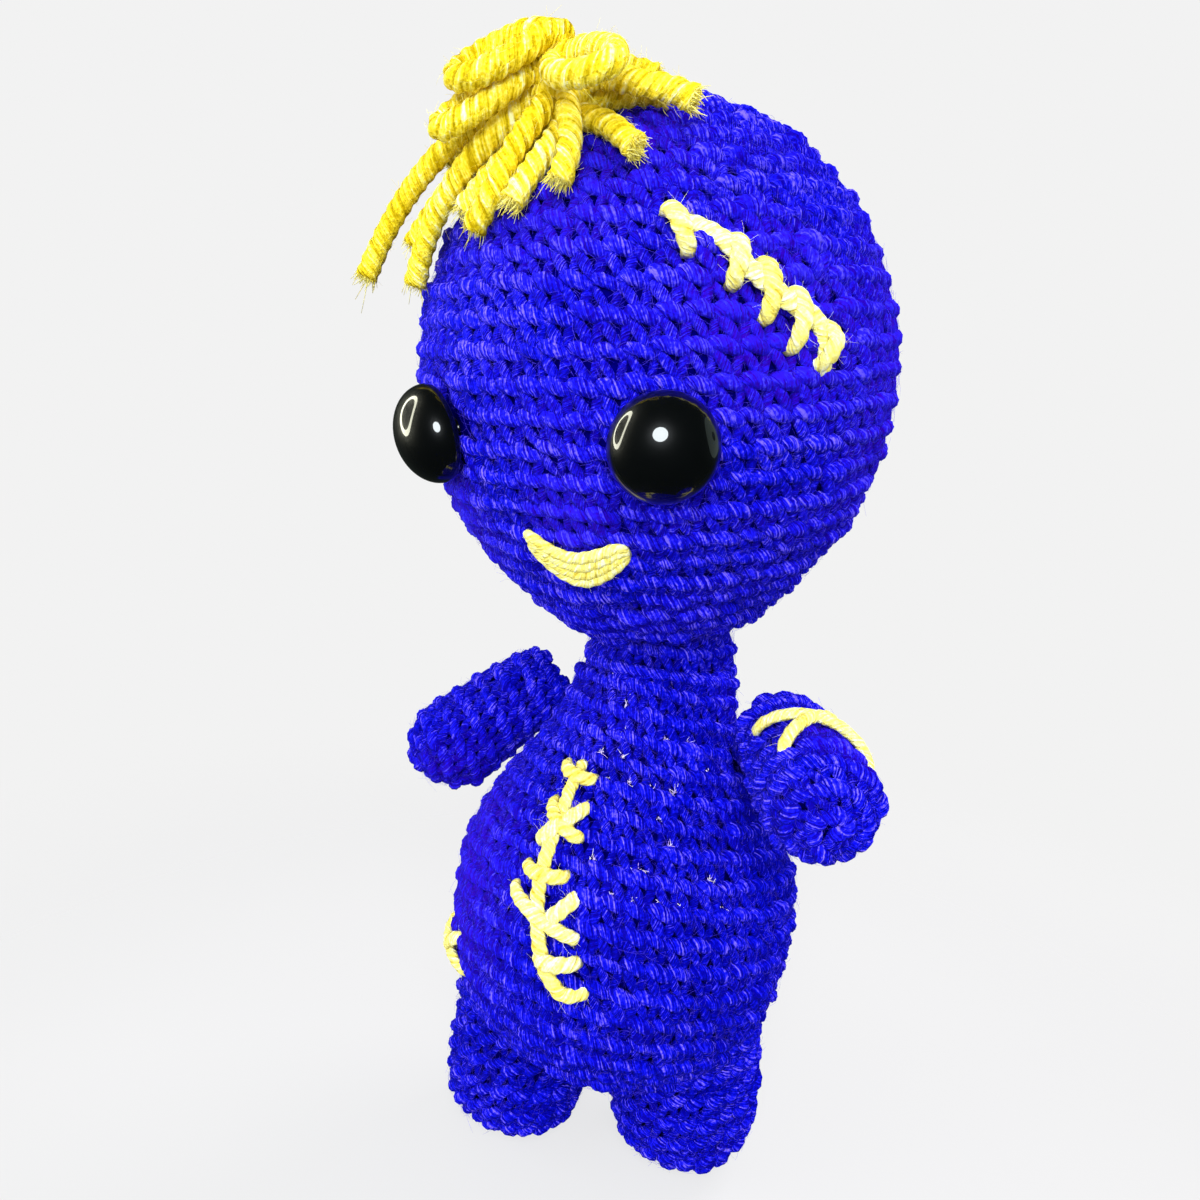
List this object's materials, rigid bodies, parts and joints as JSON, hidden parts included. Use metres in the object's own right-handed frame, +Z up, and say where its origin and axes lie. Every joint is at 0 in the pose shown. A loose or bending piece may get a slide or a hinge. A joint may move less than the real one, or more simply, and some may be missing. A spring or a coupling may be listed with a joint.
{
  "type": "amigurumi doll",
  "caption": "Small crocheted doll with a large egg-shaped head, glossy bead eyes, a tuft of yarn hair, stitched scars and stubby posable arms.",
  "frame": {"origin": "middle of the doll's bounding box, at the floor its feet stand on", "axes": "+Z up, the face looks along -Y, the doll's own left is +X"},
  "size_m": [0.0972, 0.09, 0.1925],
  "materials": {
    "blue_yarn": "fuzzy acrylic yarn in single crochet, deep royal blue",
    "hair_yarn": "soft two-ply yarn, warm yellow",
    "lemon_yarn": "soft embroidery yarn, pale lemon",
    "black_eye": "high-gloss black",
    "washer_plastic": "plain moulded, hidden inside the head",
    "fibre_filling": "loose white polyester fibre, hidden inside"
  },
  "bodies": {
    "torso": {"torso_cover": "blue_yarn", "torso_filling": "fibre_filling", "left_leg_cover": "blue_yarn", "left_leg_filling": "fibre_filling", "right_leg_cover": "blue_yarn", "right_leg_filling": "fibre_filling", "belly_scar": "lemon_yarn", "hip_cross": "lemon_yarn"},
    "neck": {"neck_cover": "blue_yarn", "neck_filling": "fibre_filling"},
    "head": {"head_cover": "blue_yarn", "head_filling": "fibre_filling", "left_eye": "black_eye", "right_eye": "black_eye", "left_eye_washer": "washer_plastic", "right_eye_washer": "washer_plastic", "mouth": "lemon_yarn", "forehead_scar": "lemon_yarn", "hair_knot": "hair_yarn", "hair_strand_01": "hair_yarn", "hair_strand_02": "hair_yarn", "hair_strand_03": "hair_yarn", "hair_strand_04": "hair_yarn", "hair_strand_05": "hair_yarn", "hair_strand_06": "hair_yarn", "hair_strand_07": "hair_yarn", "hair_strand_08": "hair_yarn", "hair_strand_09": "hair_yarn", "hair_strand_10": "hair_yarn", "hair_strand_11": "hair_yarn", "hair_strand_12": "hair_yarn", "hair_strand_13": "hair_yarn", "hair_loop_1": "hair_yarn", "hair_loop_2": "hair_yarn", "hair_loop_3": "hair_yarn"},
    "left_arm": {"left_arm_cover": "blue_yarn", "left_arm_filling": "fibre_filling", "arm_cross": "lemon_yarn"},
    "right_arm": {"right_arm_cover": "blue_yarn", "right_arm_filling": "fibre_filling"}
  },
  "joints": [
    {"name": "head_turn", "type": "hinge", "parent": "torso", "child": "neck", "pos_m": [0.00002, 0.01589, 0.09553], "axis": [0, 0.1736, 0.9848], "range_deg": [-35, 35], "stiffness_Nm_per_rad": 0.1},
    {"name": "head_nod", "type": "hinge", "parent": "neck", "child": "head", "pos_m": [0.00002, 0.01589, 0.09553], "axis": [1, 0, 0], "range_deg": [-20, 8], "stiffness_Nm_per_rad": 0.15, "springref_deg": -2.35},
    {"name": "left_arm_raise", "type": "hinge", "parent": "torso", "child": "left_arm", "pos_m": [0.02822, 0.01146, 0.08463], "axis": [-0.848, -0.5299, 0], "range_deg": [-10, 22], "stiffness_Nm_per_rad": 0.02},
    {"name": "right_arm_raise", "type": "hinge", "parent": "torso", "child": "right_arm", "pos_m": [-0.02829, 0.01389, 0.0842], "axis": [-0.788, 0.6157, 0], "range_deg": [-3, 50], "stiffness_Nm_per_rad": 0.02}
  ]
}
